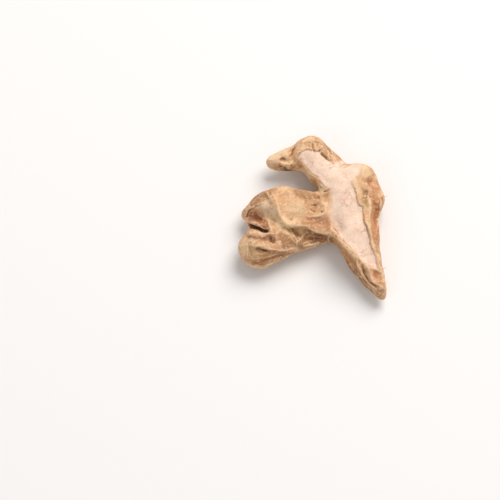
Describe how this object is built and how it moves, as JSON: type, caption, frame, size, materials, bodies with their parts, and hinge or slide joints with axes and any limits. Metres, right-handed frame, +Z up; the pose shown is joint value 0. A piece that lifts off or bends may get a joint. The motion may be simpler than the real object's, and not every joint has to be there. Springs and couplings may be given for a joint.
{
  "type": "dried ginger root",
  "caption": "Whole dried ginger root: a flattened, wrinkled rhizome of grown-together fingers with a scraped pale upper side.",
  "frame": {"origin": "centre of the bounding box's base, where the root lies on a table", "axes": "+Z up with the scraped pale side on top, +X toward the pointed long finger's side, +Y toward the curled arm"},
  "size_m": [0.0831, 0.0971, 0.0232],
  "materials": {
    "skin": "matt, dry, wrinkled rhizome skin"
  },
  "bodies": {
    "root": {"ginger_root": "skin"}
  },
  "joints": []
}
